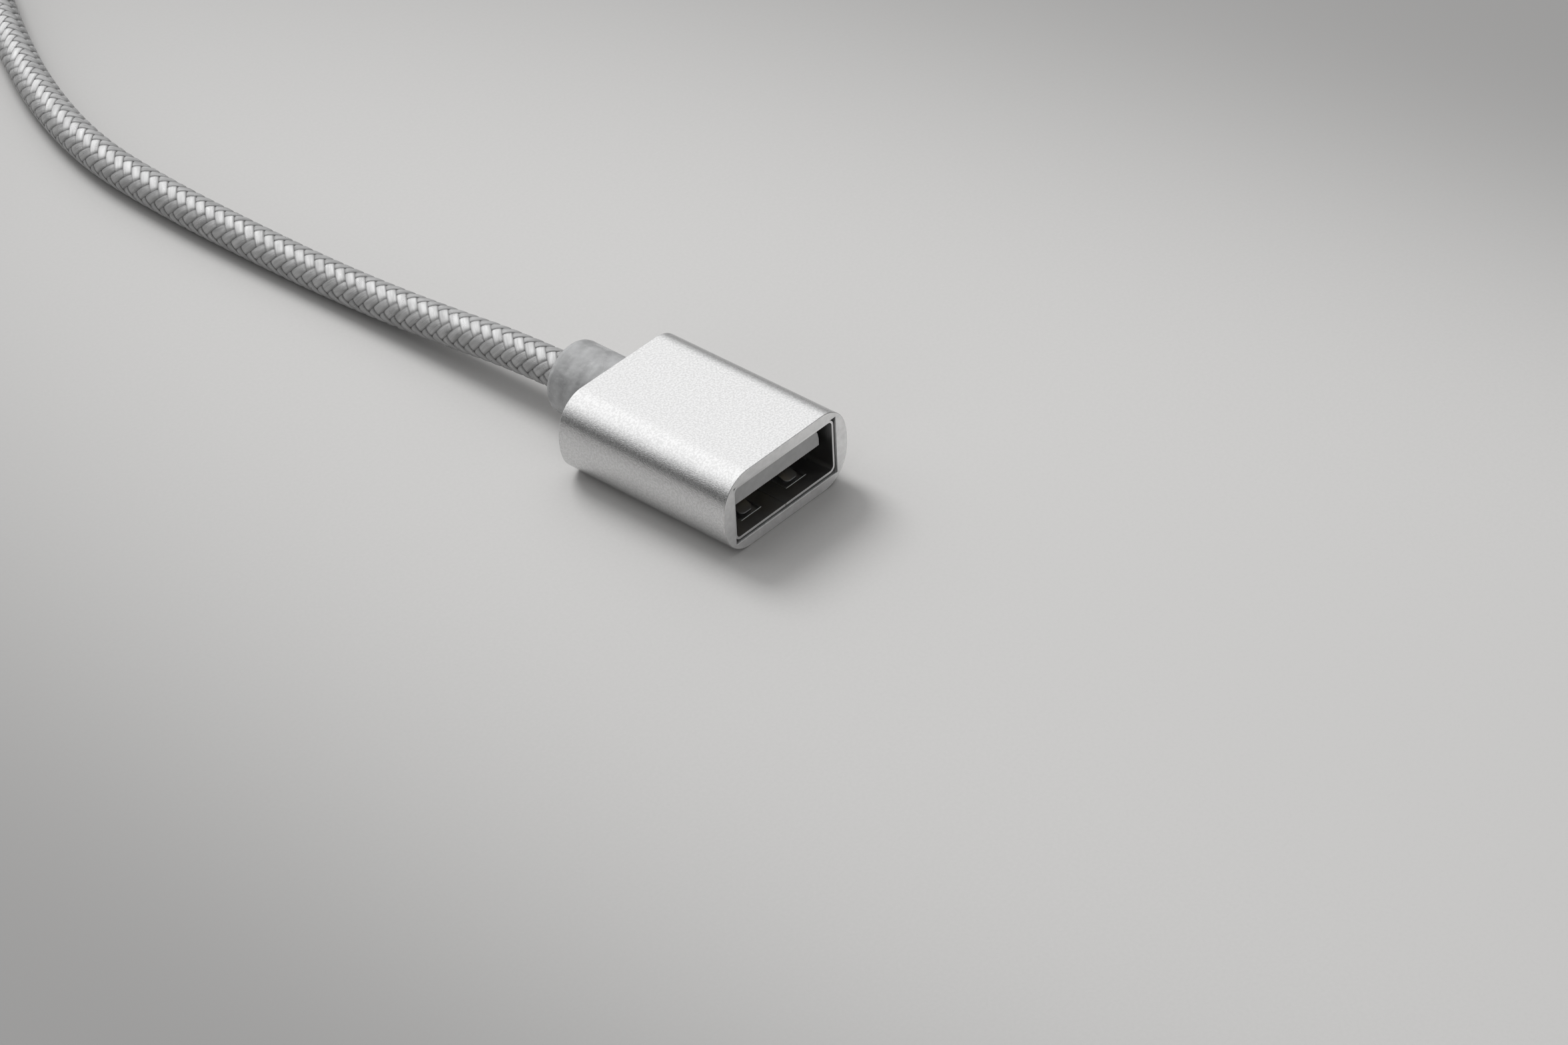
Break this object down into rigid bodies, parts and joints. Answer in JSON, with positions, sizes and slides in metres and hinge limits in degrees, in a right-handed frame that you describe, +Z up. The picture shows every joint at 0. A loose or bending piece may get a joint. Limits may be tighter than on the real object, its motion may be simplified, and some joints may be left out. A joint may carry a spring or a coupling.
{
  "type": "short braided charging cable with socket end",
  "caption": "Short braided cable from a flat rectangular socket in a rounded aluminium sleeve to a small oval plug in a matching sleeve.",
  "frame": {"origin": "bottom centre of the socket end, on the surface that it lies on", "axes": "+Z up, the socket's mouth faces -Y, the cable leaves towards +Y and lies on Z = 0"},
  "size_m": [0.0379, 0.1712, 0.008],
  "materials": {
    "anodised_sleeve": "bead-blasted and clear anodised, with bare cut ends",
    "steel_shell": "bright plated sheet",
    "insulator_grey": "fine matte moulding",
    "contact_gold": "gold-plated spring strip",
    "wire_red": "extruded insulation",
    "wire_white": "extruded insulation",
    "wire_green": "extruded insulation",
    "wire_black": "extruded insulation",
    "inner_mould": "hidden inner moulding",
    "soft_boot": "soft matte moulding",
    "braid": "silver-grey braided yarn over a soft jacket",
    "plug_core": "fine matte moulding",
    "board": "green lacquered circuit board"
  },
  "bodies": {
    "root": {"socket_sleeve": "anodised_sleeve", "socket_shell": "steel_shell", "socket_insulator": "insulator_grey", "socket_contact_power": "contact_gold", "socket_contact_data_minus": "contact_gold", "socket_contact_data_plus": "contact_gold", "socket_contact_ground": "contact_gold", "socket_wire_power": "wire_red", "socket_wire_data_minus": "wire_white", "socket_wire_data_plus": "wire_green", "socket_wire_ground": "wire_black", "socket_inner_mould": "inner_mould", "socket_strain_relief": "soft_boot", "cable": "braid", "plug_strain_relief": "soft_boot", "plug_sleeve": "anodised_sleeve", "plug_shell": "steel_shell", "plug_insulator": "plug_core", "plug_contacts_upper": "contact_gold", "plug_contacts_lower": "contact_gold", "plug_latch_left": "steel_shell", "plug_latch_right": "steel_shell", "plug_ground_spring_upper": "steel_shell", "plug_ground_spring_lower": "steel_shell", "plug_board": "board", "plug_resistor": "plug_core", "plug_wire_power": "wire_red", "plug_wire_data_minus": "wire_white", "plug_wire_data_plus": "wire_green", "plug_wire_ground": "wire_black", "plug_inner_mould": "inner_mould"}
  },
  "joints": []
}
